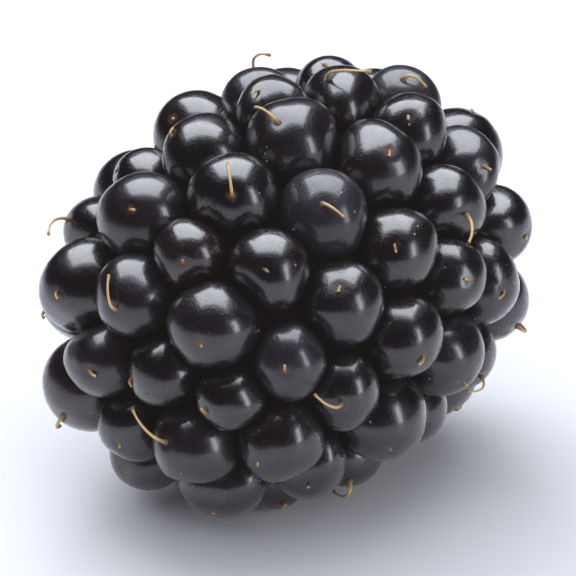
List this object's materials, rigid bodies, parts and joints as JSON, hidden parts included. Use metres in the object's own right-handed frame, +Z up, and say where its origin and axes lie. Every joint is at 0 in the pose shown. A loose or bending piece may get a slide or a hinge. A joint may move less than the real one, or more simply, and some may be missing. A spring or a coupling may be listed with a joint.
{
  "type": "bramble berry",
  "caption": "Ripe picked bramble berry lying on its side: a blunt egg of round drupelets grown together, with a pale receptacle plug at the picked end.",
  "frame": {"origin": "on the surface that the berry lies on, under the middle of its bounding box", "axes": "+Z up from the surface, the berry's long axis along Y with the tip towards -Y and the picked end towards +Y, +X to its side"},
  "size_m": [0.0226, 0.028, 0.0223],
  "materials": {
    "skin": "glossy, near-black purple, thin juicy skin with a faint bloom in places",
    "pith": "matte, pale green-white, fibrous"
  },
  "bodies": {
    "root": {"drupelets": "skin", "receptacle": "pith"}
  },
  "joints": []
}
